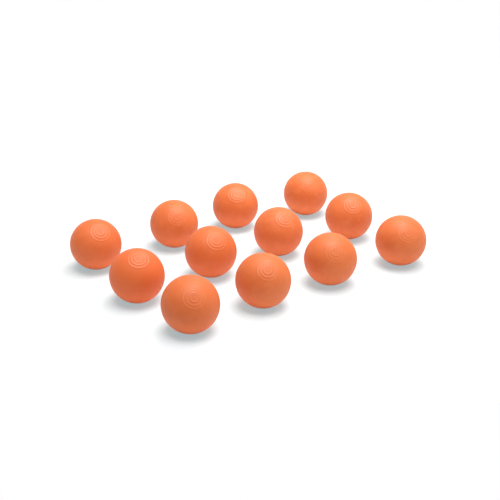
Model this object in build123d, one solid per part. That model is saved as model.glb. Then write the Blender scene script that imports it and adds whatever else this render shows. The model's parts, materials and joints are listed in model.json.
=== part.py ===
from build123d import *

import os
from math import cos, pi, sin, sqrt

# A set of loose solid rubber balls for lacrosse, standing on a flat surface in three rows of four.
# A ball is one moulding with nothing inside it, so each ball is one solid in a node of its own.
# Millimetres and degrees. +X runs along the rows, +Y from the front row to the back row, +Z up.
# The origin is the middle of the set's footprint, on the surface that the balls stand on.

# The ball
BALL_DIAMETER = 63.5  # the rules of the game ask for 7.75 to 8 inches round
CONTACT_DIAMETER = 3.4  # the flat that a ball's own weight presses against a hard surface

# The moulded mark: low ridges in rings about one pole of the ball, measured over its surface
MARK_RADIUS = 12.0  # from the pole to the middle of the outermost ridge
MARK_BARE_RADIUS = 4.0  # the plain middle of the mark
RIDGE_WIDTH = 1.4
RIDGE_GAP = 2.2
RIDGE_HEIGHT = 0.18

# The fine line round the ball where the halves of the mould met
PARTING_WIDTH = 0.8
PARTING_HEIGHT = 0.1

# The clear floor between neighbouring balls of the even grid
ROW_GAP = 43.0  # from ball to ball along a row
FILE_GAP = 41.0  # from one row to the next

# How the balls of each row stand, from left to right: how far each has rolled off its grid point
# along +X and +Y, how far its mark leans from the top, and the heading of that lean from +X
STANDING = {
    "front": [(10, 0, 50, -110), (1, 3, 43, -112), (-5, 5, 51, -117), (-2, -2, 50, -116)],
    "middle": [(-4, -9, 28, -105), (-5, 0, 42, -102), (-5, 5, 37, -102), (0, -5, 41, -119)],
    "back": [(-4, -3, 40, -94), (4, 1, 52, -109), (2, 11, 40, -118), (8, -5, 53, -111)],
}

BALL_RADIUS = BALL_DIAMETER / 2
CENTRE_HEIGHT = sqrt(BALL_RADIUS**2 - (CONTACT_DIAMETER / 2) ** 2)


def profile_point(along, proud=0.0):
    # A point of the ball's half outline, measured along the surface from the marked pole
    angle = along / BALL_RADIUS
    return (BALL_RADIUS + proud) * sin(angle), (BALL_RADIUS + proud) * cos(angle)


def outline_arc(start, end, proud=0.0):
    # A stretch of the outline, plain or standing proud in its middle
    return ThreePointArc(profile_point(start), profile_point((start + end) / 2, proud), profile_point(end))


def raised_lines():
    # Every line that stands proud of the ball, from the marked pole on: its middle, width and height
    step = RIDGE_WIDTH + RIDGE_GAP
    room = MARK_RADIUS - RIDGE_WIDTH / 2 - MARK_BARE_RADIUS
    ridges = [MARK_RADIUS - step * n for n in range(int(room // step) + 1)]
    lines = [(middle, RIDGE_WIDTH, RIDGE_HEIGHT) for middle in sorted(ridges)]
    equator = BALL_RADIUS * pi / 2
    return lines + [(equator, PARTING_WIDTH, PARTING_HEIGHT)]


def moulded_ball():
    # The whole ball about the origin, with its marked pole up, as its half outline turned about Z
    far_pole = BALL_RADIUS * pi
    with BuildPart() as ball:
        with BuildSketch(Plane.XZ):
            with BuildLine():
                reached = 0.0
                for middle, width, height in raised_lines():
                    outline_arc(reached, middle - width / 2)
                    outline_arc(middle - width / 2, middle + width / 2, height)
                    reached = middle + width / 2
                outline_arc(reached, far_pole)
                Line(profile_point(far_pole), profile_point(0.0))
            make_face()
        revolve(axis=Axis.Z)
    return ball.part


def standing_ball(ball, lean, heading):
    # The ball with its mark leant over, raised to its height and flattened where it meets the surface
    turned = Rot(0, 0, heading) * Rot(0, lean, 0) * ball
    raised = Pos(0, 0, CENTRE_HEIGHT) * turned
    return split(raised, bisect_by=Plane.XY, keep=Keep.TOP)


def ball_places():
    # Where each ball touches the surface, about the middle of the whole footprint
    row_pitch = BALL_DIAMETER + ROW_GAP
    file_pitch = BALL_DIAMETER + FILE_GAP
    places = {}
    for row, (row_name, balls) in enumerate(STANDING.items()):
        for n, (off_x, off_y, lean, heading) in enumerate(balls):
            places[row_name, n + 1] = Vector(n * row_pitch + off_x, row * file_pitch + off_y)
    middle_x = (min(p.X for p in places.values()) + max(p.X for p in places.values())) / 2
    middle_y = (min(p.Y for p in places.values()) + max(p.Y for p in places.values())) / 2
    return {key: place - Vector(middle_x, middle_y) for key, place in places.items()}


os.makedirs("parts", exist_ok=True)
plain_ball = moulded_ball()
for (row_name, number), place in ball_places().items():
    off_x, off_y, lean, heading = STANDING[row_name][number - 1]
    ball = Pos(place) * standing_ball(plain_ball, lean, heading)
    ball.label = f"{row_name}_ball_{number}"
    export_step(ball, f"parts/{ball.label}.step")
    print(f"{ball.label}: stands at {place.X:.2f}, {place.Y:.2f}, volume {ball.volume / 1000:.2f} cm3")
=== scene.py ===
import json
import math
import random

import bpy
import numpy as np
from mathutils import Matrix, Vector


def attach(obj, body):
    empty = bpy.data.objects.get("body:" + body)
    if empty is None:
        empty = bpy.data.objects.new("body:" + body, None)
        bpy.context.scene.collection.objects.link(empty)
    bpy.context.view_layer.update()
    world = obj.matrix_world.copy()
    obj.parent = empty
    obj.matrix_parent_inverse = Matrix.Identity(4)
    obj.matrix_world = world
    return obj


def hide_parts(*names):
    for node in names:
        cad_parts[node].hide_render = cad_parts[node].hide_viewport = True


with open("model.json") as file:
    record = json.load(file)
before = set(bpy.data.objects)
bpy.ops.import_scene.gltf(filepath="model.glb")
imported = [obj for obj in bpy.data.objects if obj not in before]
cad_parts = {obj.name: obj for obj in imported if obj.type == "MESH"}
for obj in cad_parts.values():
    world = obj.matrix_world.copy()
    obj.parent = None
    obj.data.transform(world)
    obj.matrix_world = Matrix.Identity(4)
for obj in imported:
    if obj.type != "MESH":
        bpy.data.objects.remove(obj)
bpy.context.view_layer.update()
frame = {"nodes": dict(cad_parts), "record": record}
scene = bpy.context.scene
scene.view_settings.view_transform = "Standard"
mm = 0.001
print("frame loaded:", len(frame["nodes"]), "balls")


# One ball: the sizes are the solid's own, measured over its surface from the marked pole
ball = {
    "radius": 31.75 * mm,
    "contactRadius": 1.7 * mm,
    "rings": 3,
    "firstRing": 4.8 * mm,
    "ringStep": 3.6 * mm,
    "ringWidth": 1.4 * mm,
    "ringHeight": 0.18 * mm,
    "seamWidth": 0.8 * mm,
    "seamHeight": 0.1 * mm,
    "seamUneven": 0.35,  # how strongly the trimmed seam's height wanders round the ball
    "seamWaves": 7,
    "softEdge": 1.25,  # a line's foot runs out this much wider than the solid's
    "softPower": 1.5,  # how gently that foot runs out
    "sides": 192,
    "stepOnSkin": 1.25 * mm,
    "fewestOnSkin": 3,
    "stepsOnLine": 12,
}


# Node helpers

def addNode(tree, kind, **values):
    node = tree.nodes.new(kind)
    for key, value in values.items():
        setattr(node, key, value)
    return node


# links a socket, or sets a plain number or colour
def feed(tree, value, socket):
    if isinstance(value, bpy.types.NodeSocket):
        tree.links.new(value, socket)
    else:
        socket.default_value = value


def feedAll(tree, node, values):
    for label, value in values.items():
        feed(tree, value, node.inputs[label])


def noise(tree, place, scale, detail=2.0, roughness=0.5):
    node = addNode(tree, "ShaderNodeTexNoise")
    feedAll(tree, node, {"Vector": place, "Scale": scale, "Detail": detail, "Roughness": roughness})
    return node.outputs["Fac"]


def mapRange(tree, value, low, high, toLow, toHigh):
    node = addNode(tree, "ShaderNodeMapRange", interpolation_type="SMOOTHSTEP")
    ends = {"From Min": low, "From Max": high, "To Min": toLow, "To Max": toHigh}
    feedAll(tree, node, {"Value": value, **ends})
    return node.outputs["Result"]


def maths(tree, operation, *numbers):
    node = addNode(tree, "ShaderNodeMath", operation=operation)
    for number, socket in zip(numbers, node.inputs):
        feed(tree, number, socket)
    return node.outputs[0]


# where a mix node keeps its colour sockets
mixSockets = {"share": 0, "first": 6, "second": 7, "result": 2}


def mixColour(tree, share, first, second):
    node = addNode(tree, "ShaderNodeMix", data_type="RGBA")
    feed(tree, share, node.inputs[mixSockets["share"]])
    feed(tree, first, node.inputs[mixSockets["first"]])
    feed(tree, second, node.inputs[mixSockets["second"]])
    return node.outputs[mixSockets["result"]]


def heightOnAxis(tree, place):
    split = addNode(tree, "ShaderNodeSeparateXYZ")
    tree.links.new(place, split.inputs[0])
    return split.outputs["Z"]


spotCore = 0.35  # a spot is full out to this share of its radius


# small round spots in the rubber: a share of the cells of a pattern hold one, as wide as the skin cuts it
def spots(tree, place, scale, radius, share):
    cells = addNode(tree, "ShaderNodeTexVoronoi")
    feedAll(tree, cells, {"Vector": place, "Scale": scale})
    draw = addNode(tree, "ShaderNodeSeparateColor")
    tree.links.new(cells.outputs["Color"], draw.inputs[0])
    chosen = maths(tree, "LESS_THAN", draw.outputs[0], share)
    reach = radius * scale  # in the pattern's own unit
    near = mapRange(tree, cells.outputs["Distance"], reach * spotCore, reach, 1.0, 0.0)
    return maths(tree, "MULTIPLY", chosen, near)


# Shared effects, each one node group

def newGroup(name, inputs, outputs):
    group = bpy.data.node_groups.new(name, "ShaderNodeTree")
    for label, kind, value in inputs:
        socket = group.interface.new_socket(label, in_out="INPUT", socket_type=kind)
        if value is not None:
            socket.default_value = value
    for label, kind in outputs:
        group.interface.new_socket(label, in_out="OUTPUT", socket_type=kind)
    start = group.nodes.new("NodeGroupInput")
    end = group.nodes.new("NodeGroupOutput")
    return group, start, end


# the fine skin that the mould leaves on rubber, with the odd pinhole, as a height for a bump
grainLook = {
    "fine": {"scale": 2600, "detail": 2},
    "fineHeight": 0.6,
    "coarse": {"scale": 620, "detail": 3},
    "coarseHeight": 0.9,
    "pinholes": {"scale": 640, "radius": 0.22 * mm, "share": 0.05},
}


def mouldGrainGroup():
    group, start, end = newGroup(
        "mould grain",
        [("Place", "NodeSocketVector", None),
         ("Fine", "NodeSocketFloat", grainLook["fineHeight"]),
         ("Coarse", "NodeSocketFloat", grainLook["coarseHeight"])],
        [("Height", "NodeSocketFloat"), ("Pinholes", "NodeSocketFloat")],
    )
    place = start.outputs["Place"]
    fine = maths(group, "MULTIPLY", noise(group, place, **grainLook["fine"]), start.outputs["Fine"])
    coarse = maths(group, "MULTIPLY", noise(group, place, **grainLook["coarse"]), start.outputs["Coarse"])
    pinholes = spots(group, place, **grainLook["pinholes"])
    grain = maths(group, "ADD", fine, coarse)
    group.links.new(maths(group, "SUBTRACT", grain, pinholes), end.inputs["Height"])
    group.links.new(pinholes, end.inputs["Pinholes"])
    return group


# slow changes of tone in the compound, specks of pigment, and the dull bloom of new rubber in patches
compoundLook = {
    "tone": {"scale": 42, "detail": 4, "roughness": 0.6},
    "toneRange": (0.35, 0.65),
    "patches": {"scale": 110, "detail": 6, "roughness": 0.65},
    "patchRange": (0.48, 0.72),
    "patchMost": 0.6,
    "patchMatt": 0.06,  # how much rougher full bloom would be
    "paleSpecks": {"scale": 900, "radius": 0.2 * mm, "share": 0.07},
    "paleShare": 0.7,
    "darkSpecks": {"scale": 760, "radius": 0.18 * mm, "share": 0.05},
    "darkShare": 0.8,
    "gloss": {"scale": 150, "detail": 5, "roughness": 0.62},
    "glossMiddle": 0.5,
}


def compoundGroup():
    group, start, end = newGroup(
        "rubber compound",
        [("Place", "NodeSocketVector", None),
         ("Colour", "NodeSocketColor", None),
         ("Deep", "NodeSocketColor", None),
         ("Bloom", "NodeSocketColor", None),
         ("Roughness", "NodeSocketFloat", None),
         ("Spread", "NodeSocketFloat", None)],
        [("Colour", "NodeSocketColor"), ("Roughness", "NodeSocketFloat")],
    )
    look = compoundLook
    place = start.outputs["Place"]
    deep, bloom = start.outputs["Deep"], start.outputs["Bloom"]

    slow = mapRange(group, noise(group, place, **look["tone"]), *look["toneRange"], 0.0, 1.0)
    toned = mixColour(group, slow, deep, start.outputs["Colour"])
    blotches = noise(group, place, **look["patches"])
    patches = mapRange(group, blotches, *look["patchRange"], 0.0, look["patchMost"])
    bloomed = mixColour(group, patches, toned, bloom)
    paleSpecks = maths(group, "MULTIPLY", spots(group, place, **look["paleSpecks"]), look["paleShare"])
    speckled = mixColour(group, paleSpecks, bloomed, bloom)
    darkSpecks = maths(group, "MULTIPLY", spots(group, place, **look["darkSpecks"]), look["darkShare"])
    group.links.new(mixColour(group, darkSpecks, speckled, deep), end.inputs["Colour"])

    swing = maths(group, "SUBTRACT", noise(group, place, **look["gloss"]), look["glossMiddle"])
    dulled = maths(group, "MULTIPLY", swing, start.outputs["Spread"])
    matt = maths(group, "MULTIPLY", patches, look["patchMatt"])
    wander = maths(group, "ADD", dulled, matt)
    group.links.new(maths(group, "ADD", start.outputs["Roughness"], wander), end.inputs["Roughness"])
    return group


# pale dust in the corners at the feet of the rings; Place is in the mould's frame, with the rings at its top
dustLook = {
    "width": 0.5 * mm,
    "breaks": {"scale": 420, "detail": 3, "roughness": 0.6},
    "breakRange": (0.3, 0.65),
    "least": 0.2,  # what is left of it where it is rubbed off
}


def ringDustGroup():
    group, start, end = newGroup(
        "ring dust",
        [("Place", "NodeSocketVector", None), ("Width", "NodeSocketFloat", dustLook["width"])],
        [("Mask", "NodeSocketFloat")],
    )
    place = start.outputs["Place"]
    upright = maths(group, "DIVIDE", heightOnAxis(group, place), ball["radius"])
    fromPole = maths(group, "ARCCOSINE", maths(group, "MINIMUM", upright, 1.0))
    along = maths(group, "MULTIPLY", fromPole, ball["radius"])

    # count goes up by one from ring to ring, and each ring is in the middle of its step
    before = ball["firstRing"] - ball["ringStep"] / 2
    count = maths(group, "DIVIDE", maths(group, "SUBTRACT", along, before), ball["ringStep"])
    marked = maths(group, "MULTIPLY", maths(group, "GREATER_THAN", count, 0.0),
                   maths(group, "LESS_THAN", count, float(ball["rings"])))
    aside = maths(group, "ABSOLUTE", maths(group, "SUBTRACT", maths(group, "FRACT", count), 0.5))
    offRing = maths(group, "MULTIPLY", aside, ball["ringStep"])

    foot = ball["ringWidth"] * ball["softEdge"] / 2
    offFoot = maths(group, "ABSOLUTE", maths(group, "SUBTRACT", offRing, foot))
    corner = mapRange(group, offFoot, 0.0, start.outputs["Width"], 1.0, 0.0)
    breaks = noise(group, place, **dustLook["breaks"])
    broken = mapRange(group, breaks, *dustLook["breakRange"], dustLook["least"], 1.0)
    dust = maths(group, "MULTIPLY", maths(group, "MULTIPLY", corner, marked), broken)
    group.links.new(dust, end.inputs["Mask"])
    return group


# the band that trimming leaves each side of the parting line, with fine strokes along it
trimLook = {
    "width": 1.7 * mm,
    "core": 0.45,  # the band is full out to this share of its width
    "edge": {"scale": 160, "detail": 3},
    "edgeDepth": 1.4 * mm,
    "strokes": {"scale": 130, "detail": 3, "roughness": 0.6},
    "strokeLength": 26.0,  # in widths of a stroke
}


def trimBandGroup():
    group, start, end = newGroup(
        "trim band",
        [("Place", "NodeSocketVector", None), ("Width", "NodeSocketFloat", trimLook["width"])],
        [("Mask", "NodeSocketFloat"), ("Strokes", "NodeSocketFloat")],
    )
    place, width = start.outputs["Place"], start.outputs["Width"]
    aside = maths(group, "ABSOLUTE", heightOnAxis(group, place))
    uneven = maths(group, "MULTIPLY", noise(group, place, **trimLook["edge"]), trimLook["edgeDepth"])
    away = maths(group, "ADD", aside, uneven)
    mask = mapRange(group, away, maths(group, "MULTIPLY", width, trimLook["core"]), width, 1.0, 0.0)
    drawnOut = addNode(group, "ShaderNodeVectorMath", operation="MULTIPLY")
    group.links.new(place, drawnOut.inputs[0])
    drawnOut.inputs[1].default_value = (1.0, 1.0, trimLook["strokeLength"])
    strokes = noise(group, drawnOut.outputs[0], **trimLook["strokes"])
    group.links.new(mask, end.inputs["Mask"])
    group.links.new(maths(group, "MULTIPLY", strokes, mask), end.inputs["Strokes"])
    return group


mouldGrain = mouldGrainGroup()
compound = compoundGroup()
ringDust = ringDustGroup()
trimBand = trimBandGroup()
print("shared effects ready")


# Rubber finishes: the plain skin, the raised rings and the trimmed parting line
rubbers = {
    "orangeSkin": {
        "colour": (0.79, 0.184, 0.049),
        "deep": (0.745, 0.161, 0.040),
        "bloom": (0.80, 0.219, 0.074),
        "roughness": 0.55,
        "spread": 0.26,  # how far the roughness wanders
        "grain": 0.55,
    },
    "orangeRing": {
        "colour": (0.79, 0.186, 0.050),
        "deep": (0.75, 0.165, 0.041),
        "bloom": (0.80, 0.219, 0.074),
        "roughness": 0.42,
        "spread": 0.20,
        "grain": 0.40,
    },
    "orangeSeam": {
        "colour": (0.78, 0.188, 0.053),
        "deep": (0.73, 0.159, 0.040),
        "bloom": (0.80, 0.226, 0.080),
        "roughness": 0.60,
        "spread": 0.24,
        "grain": 0.75,
    },
}

# what all three have in common
rubber = {
    "ior": 1.5,
    "specular": 0.39,
    "rich": (0.80, 0.148, 0.033),  # the richer orange that some balls are given
    "grainDepth": 0.12 * mm,
    "dust": 0.55,
    "trimTone": 0.5,
    "trimRoughness": 0.10,
    "trimStrokes": 1.6,
}


def addGroup(tree, group, place, values=()):
    node = addNode(tree, "ShaderNodeGroup", node_tree=group)
    tree.links.new(place, node.inputs["Place"])
    for label, value in values:
        node.inputs[label].default_value = value
    return node


# each ball's pattern starts at a place of its own
def ownPlace(tree):
    coordinates = addNode(tree, "ShaderNodeTexCoord")
    info = addNode(tree, "ShaderNodeObjectInfo")
    shift = addNode(tree, "ShaderNodeVectorMath", operation="ADD")
    tree.links.new(coordinates.outputs["Object"], shift.inputs[0])
    tree.links.new(info.outputs["Random"], shift.inputs[1])
    return shift.outputs[0]


def rubberFinish(name, look):
    material = bpy.data.materials.new(name)
    material.use_nodes = True
    tree = material.node_tree
    shader = tree.nodes["Principled BSDF"]
    shader.inputs["IOR"].default_value = rubber["ior"]
    shader.inputs["Specular IOR Level"].default_value = rubber["specular"]

    # what the mould made lies in the mould's frame
    place = ownPlace(tree)
    inMould = addNode(tree, "ShaderNodeAttribute", attribute_name="mouldPlace").outputs["Vector"]
    colour, deep, bloom = ((*look[key], 1) for key in ("colour", "deep", "bloom"))
    tones = [("Colour", colour), ("Deep", deep), ("Bloom", bloom)]
    body = addGroup(tree, compound, place,
                    [*tones, ("Roughness", look["roughness"]), ("Spread", look["spread"])])
    grain = addGroup(tree, mouldGrain, place)
    dust = addGroup(tree, ringDust, inMould)
    trim = addGroup(tree, trimBand, inMould)

    richness = addNode(tree, "ShaderNodeAttribute", attribute_name="richness").outputs["Fac"]
    richerOrange = mixColour(tree, richness, body.outputs["Colour"], (*rubber["rich"], 1))
    dusted = maths(tree, "MULTIPLY", dust.outputs["Mask"], rubber["dust"])
    trimmed = maths(tree, "MULTIPLY", trim.outputs["Strokes"], rubber["trimTone"])
    paled = mixColour(tree, maths(tree, "ADD", dusted, trimmed), richerOrange, bloom)
    # painted shade: the pinholes are coloured darker, standing in for the shade inside the pits
    tone = mixColour(tree, grain.outputs["Pinholes"], paled, deep)
    tree.links.new(tone, shader.inputs["Base Color"])

    scuffed = maths(tree, "MULTIPLY", trim.outputs["Mask"], rubber["trimRoughness"])
    tree.links.new(maths(tree, "ADD", body.outputs["Roughness"], scuffed), shader.inputs["Roughness"])

    strokes = maths(tree, "MULTIPLY", trim.outputs["Strokes"], rubber["trimStrokes"])
    bump = addNode(tree, "ShaderNodeBump")
    bump.inputs["Strength"].default_value = look["grain"]
    bump.inputs["Distance"].default_value = rubber["grainDepth"]
    tree.links.new(maths(tree, "ADD", grain.outputs["Height"], strokes), bump.inputs["Height"])
    tree.links.new(bump.outputs["Normal"], shader.inputs["Normal"])
    return material


finishes = [rubberFinish(name, look) for name, look in rubbers.items()]
skinFinish, ringFinish, seamFinish = range(len(finishes))
print("rubber finishes ready")


# Raised lines of a ball, from the marked pole on: the rings and the parting line
centreHeight = math.sqrt(ball["radius"] ** 2 - ball["contactRadius"] ** 2)
equator = ball["radius"] * math.pi / 2
farPole = ball["radius"] * math.pi
ringPlaces = [ball["firstRing"] + ball["ringStep"] * n for n in range(ball["rings"])]
lines = [(middle, ball["ringWidth"], ball["ringHeight"], ringFinish) for middle in ringPlaces]
lines.append((equator, ball["seamWidth"], ball["seamHeight"], seamFinish))


def evenSteps(first, last, steps):
    return [first + (last - first) * (n + 1) / steps for n in range(steps)]


def skinSteps(first, last):
    return max(ball["fewestOnSkin"], round((last - first) / ball["stepOnSkin"]))


# how far down the outline each row of points lies: close together on the raised lines, wider on the skin
def outlineRows():
    rows = [0.0]
    for middle, width, height, finish in lines:
        half = width * ball["softEdge"] / 2
        rows += evenSteps(rows[-1], middle - half, skinSteps(rows[-1], middle - half))
        rows += evenSteps(rows[-1], middle + half, ball["stepsOnLine"])
    return rows + evenSteps(rows[-1], farPole, skinSteps(rows[-1], farPole))


# how far the ball stands proud at that place on its outline, and in which finish
def proudAt(along):
    for middle, width, height, finish in lines:
        share = abs(along - middle) / (width * ball["softEdge"] / 2)
        if share < 1:
            return height * (1 - share ** 2) ** ball["softPower"], finish
    return 0.0, skinFinish


# the trimmed flash is never quite even, so its height wanders round the ball
def seamWander(turn, phases):
    wave = sum(math.sin(turn * n + phase) / n for n, phase in enumerate(phases, 2))
    return 1 + ball["seamUneven"] * wave


# one ball's points in the mould's frame, its rings about +Z: row by row, then the two poles
def ballPoints(phases):
    angles, turns, points = [], [], []
    for along in rows[1:-1]:
        angle = along / ball["radius"]
        across, up = math.sin(angle), math.cos(angle)
        proud, finish = proudAt(along)
        for n in range(ball["sides"]):
            turn = 2 * math.pi * n / ball["sides"]
            rise = proud * seamWander(turn, phases) if finish == seamFinish else proud
            out = Vector((across * math.cos(turn), across * math.sin(turn), up))
            angles.append(angle)
            turns.append(turn)
            points.append(out * (ball["radius"] + rise))
    for angle in (0.0, math.pi):
        angles.append(angle)
        turns.append(0.0)
        points.append(Vector((0, 0, ball["radius"] * math.cos(angle))))
    return angles, turns, points


# the faces between those points, the finish of each, and whether it lies on the half without rings
def ballFaces():
    faces, marks, lower = [], [], []
    sides = ball["sides"]
    bands = len(rows) - 3  # between the rows, without the fans of triangles at the poles
    last = bands * sides
    pole = last + sides
    for n in range(sides):
        after = (n + 1) % sides
        faces += [(pole, n, after), (pole + 1, last + after, last + n)]
        marks += [skinFinish, skinFinish]
        lower += [False, True]
    for band in range(bands):
        middle = (rows[band + 1] + rows[band + 2]) / 2
        finish = proudAt(middle)[1]
        here, below = band * sides, (band + 1) * sides
        for n in range(sides):
            after = (n + 1) % sides
            faces.append((here + n, below + n, below + after, here + after))
            marks.append(finish)
            lower.append(middle > equator)
    return faces, marks, lower


rows = outlineRows()
faces, marks, lower = ballFaces()


# a flat map for the finish: each half of the ball is one disc, so the map's only cut is the parting line,
# and the two discs lie corner to corner in the map's square
halfMap = {"radius": 0.289, "centres": ((0.2929, 0.2929), (0.7071, 0.7071))}


def mapHalves(mesh, angles, turns):
    corners = np.empty(len(mesh.loops), np.int32)
    mesh.loops.foreach_get("vertex_index", corners)
    sizes = np.empty(len(mesh.polygons), np.int32)
    mesh.polygons.foreach_get("loop_total", sizes)
    under = np.repeat(np.array(lower), sizes)
    angle = np.array(angles)[corners]
    fromPole = np.where(under, math.pi - angle, angle)
    turn = np.where(under, -1, 1) * np.array(turns)[corners]
    reach = halfMap["radius"] * np.sin(fromPole / 2) / math.sin(math.pi / 4)
    centres = np.array(halfMap["centres"])[under.astype(int)]
    spread = centres + reach[:, None] * np.stack([np.cos(turn), np.sin(turn)], 1)
    layer = mesh.uv_layers.new(name="OFBake")
    layer.uv.foreach_set("vector", spread.astype(np.float32).ravel())


def ballMesh(name, axis, richness, seed):
    draw = random.Random(seed)
    phases = [draw.uniform(0, 2 * math.pi) for n in range(ball["seamWaves"])]
    angles, turns, points = ballPoints(phases)
    lean = Vector((0, 0, 1)).rotation_difference(axis)
    placed = [lean @ point for point in points]
    for point in placed:
        point.z = max(point.z, -centreHeight)  # pressed flat on the floor
    mesh = bpy.data.meshes.new(name)
    mesh.from_pydata(placed, [], faces)
    mesh.polygons.foreach_set("material_index", marks)
    mesh.polygons.foreach_set("use_smooth", [True] * len(faces))
    inMould = mesh.attributes.new("mouldPlace", "FLOAT_VECTOR", "POINT")
    inMould.data.foreach_set("vector", np.array(points, np.float32).ravel())
    batch = mesh.attributes.new("richness", "FLOAT", "POINT")
    batch.data.foreach_set("value", [richness] * len(points))
    mapHalves(mesh, angles, turns)
    for finish in finishes:
        mesh.materials.append(finish)
    mesh.update()
    return mesh


# where each ball stands, as the record's mounts give it
feet = {mount["name"]: Vector(mount["pos_m"]) for mount in frame["record"]["mounts"]}


# which way a ball's rings face: the middle of the points that stand higher than its parting line
def ringAxis(node, centre):
    solid = frame["nodes"][node].data
    spread = np.zeros(len(solid.vertices) * 3, np.float32)
    solid.vertices.foreach_get("co", spread)
    spread = spread.reshape(-1, 3) - np.array(centre, np.float32)
    lowest = ball["radius"] + (ball["ringHeight"] + ball["seamHeight"]) / 2
    proud = np.linalg.norm(spread, axis=1) > lowest
    return Vector(spread[proud].mean(0).tolist()).normalized()


# four balls on the left of the set, given that much richer an orange than the rest
richBalls = {"middle_ball_1": 0.8, "back_ball_1": 0.4, "middle_ball_2": 0.3, "front_ball_1": 0.25}

for body, nodes in frame["record"]["behaviour"]["bodies"].items():
    for node in nodes:
        centre = feet[f"{node}_foot"] + Vector((0, 0, centreHeight))
        axis = ringAxis(node, centre)
        mesh = ballMesh(f"moulded_{node}", axis, richBalls.get(node, 0.0), node)
        piece = bpy.data.objects.new(f"moulded_{node}", mesh)
        scene.collection.objects.link(piece)
        piece.location = centre
        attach(piece, body)
        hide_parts(node)
print("balls moulded:", len(frame["nodes"]))


# Camera at the photograph's place: azimuth 0 looks along +Y
view = {
    "lens": 58.0,
    "sensor": 36.0,
    "azimuth": -34.75,
    "elevation": 23.8,
    "distance": 1.0683,
    "aim": (0.0231, 0.0317, 0.0),
}


# from the floor's middle towards a place that far round and up
def towards(azimuth, elevation):
    around, up = math.radians(azimuth), math.radians(elevation)
    return Vector((math.sin(around) * math.cos(up), -math.cos(around) * math.cos(up), math.sin(up)))


def setCamera():
    lens = bpy.data.cameras.new("camera")
    lens.lens = view["lens"]
    lens.sensor_width = view["sensor"]
    camera = bpy.data.objects.new("camera", lens)
    scene.collection.objects.link(camera)
    back = towards(view["azimuth"], view["elevation"])
    camera.location = Vector(view["aim"]) + back * view["distance"]
    camera.rotation_mode = "QUATERNION"
    camera.rotation_quaternion = (-back).to_track_quat("-Z", "Y")
    scene.camera = camera


setCamera()
print("camera set")


# Floor and surroundings: white to the eye, plain in the light that they give
floorLook = {
    "far": 6.0,
    "front": 0.31,  # the floor ends a little in front of the balls
    "colour": (0.95, 0.95, 0.95),
    "roughness": 0.9,
    "white": (1.0, 1.0, 1.0),
    "whiteShare": 0.44,  # how much of that white lies over the floor's own look
    "whiteUnder": (0.51, 0.92, 0.99),  # under a ball it takes out the red that the ball throws down
    "underReach": 0.3,
    "underSamples": 8,
    "underPower": 0.6,  # below 1 spreads that further from the ball
    "touchShare": 0.72,  # that much less of it where a ball touches, as its foot throws little red
    "touchPower": 5,  # a high power keeps that close to the foot
}


# 1 where a surface is looked at, by the camera itself or in a reflection or glass
def seenDirectly(tree):
    path = addNode(tree, "ShaderNodeLightPath")
    seen = maths(tree, "MAXIMUM", path.outputs["Is Camera Ray"], path.outputs["Is Glossy Ray"])
    return maths(tree, "MAXIMUM", seen, path.outputs["Is Transmission Ray"])


# the white that lies over the floor, from the open floor's to that under a ball: a painted cool tint, led by
# ambient occlusion, in the shade under each ball, that cancels the red light the balls throw there
def floorWhite(tree):
    sky = addNode(tree, "ShaderNodeAmbientOcclusion", samples=floorLook["underSamples"])
    sky.inputs["Distance"].default_value = floorLook["underReach"]
    shade = maths(tree, "SUBTRACT", 1.0, sky.outputs["AO"])
    spread = maths(tree, "POWER", shade, floorLook["underPower"])
    touch = maths(tree, "POWER", shade, floorLook["touchPower"])
    less = maths(tree, "MULTIPLY", touch, floorLook["touchShare"])
    under = maths(tree, "MULTIPLY", spread, maths(tree, "SUBTRACT", 1.0, less))
    return mixColour(tree, under, (*floorLook["white"], 1), (*floorLook["whiteUnder"], 1))


def floorFinish():
    material = bpy.data.materials.new("whiteFloor")
    material.use_nodes = True
    tree = material.node_tree
    shader = tree.nodes["Principled BSDF"]
    shader.inputs["Base Color"].default_value = (*floorLook["colour"], 1)
    shader.inputs["Roughness"].default_value = floorLook["roughness"]
    shader.inputs["Specular IOR Level"].default_value = 0.0
    glow = addNode(tree, "ShaderNodeEmission")
    tree.links.new(floorWhite(tree), glow.inputs["Color"])
    blend = addNode(tree, "ShaderNodeMixShader")
    share = maths(tree, "MULTIPLY", seenDirectly(tree), floorLook["whiteShare"])
    tree.links.new(share, blend.inputs["Fac"])
    tree.links.new(shader.outputs[0], blend.inputs[1])
    tree.links.new(glow.outputs[0], blend.inputs[2])
    tree.links.new(blend.outputs[0], tree.nodes["Material Output"].inputs["Surface"])
    return material


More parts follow.
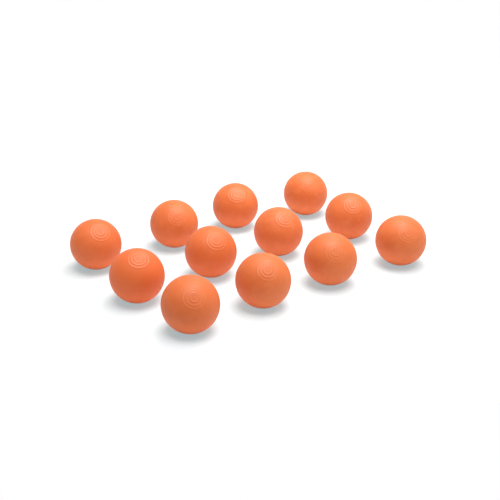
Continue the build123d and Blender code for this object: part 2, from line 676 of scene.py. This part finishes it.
def layFloor():
    around = math.radians(view["azimuth"])
    across = Vector((math.cos(around), math.sin(around), 0))
    ahead = Vector((-math.sin(around), math.cos(around), 0))
    far, near = floorLook["far"], -floorLook["front"]
    plan = ((-far, near), (far, near), (far, far), (-far, far))
    mesh = bpy.data.meshes.new("floor")
    mesh.from_pydata([across * side + ahead * depth for side, depth in plan], [], [(0, 1, 2, 3)])
    mesh.materials.append(floorFinish())
    floor = bpy.data.objects.new("floor", mesh)
    scene.collection.objects.link(floor)


layFloor()
print("floor laid")


# Studio light: a lamp nearly overhead, a weak wide one from the right, a soft box above the back
# and a white surround
lamps = {
    "overhead": {"strength": 2.75, "azimuth": 5, "elevation": 81, "angle": 40},
    "side": {"strength": 0.3, "azimuth": 62, "elevation": 35, "angle": 70},
    "back": {"strength": 1.75, "azimuth": 116, "elevation": 72, "distance": 0.7, "size": 0.5},
}
surround = {"light": 0.15, "seen": 1.0}


# a far lamp gives the same light all over, and a soft box gives more to the balls that stand near it
def hangLamp(name, look):
    kind = "AREA" if "size" in look else "SUN"
    lamp = bpy.data.lights.new(name, kind)
    holder = bpy.data.objects.new(name, lamp)
    scene.collection.objects.link(holder)
    way = towards(look["azimuth"], look["elevation"])
    if kind == "AREA":
        lamp.shape = "DISK"
        lamp.size = look["size"]
        lamp.energy = look["strength"] * math.pi * look["distance"] ** 2
        holder.location = way * look["distance"]  # it faces straight down
        holder.visible_camera = False
    else:
        lamp.angle = math.radians(look["angle"])
        lamp.energy = look["strength"]
        holder.rotation_mode = "QUATERNION"
        holder.rotation_quaternion = way.to_track_quat("Z", "Y")


def whiteSurround():
    world = bpy.data.worlds.new("surround")
    world.use_nodes = True
    scene.world = world
    tree = world.node_tree
    glow = tree.nodes["Background"]
    glow.inputs["Color"].default_value = (1, 1, 1, 1)
    gain = maths(tree, "MULTIPLY", seenDirectly(tree), surround["seen"] - surround["light"])
    tree.links.new(maths(tree, "ADD", gain, surround["light"]), glow.inputs["Strength"])


for name, look in lamps.items():
    hangLamp(name, look)
whiteSurround()
print("light set")
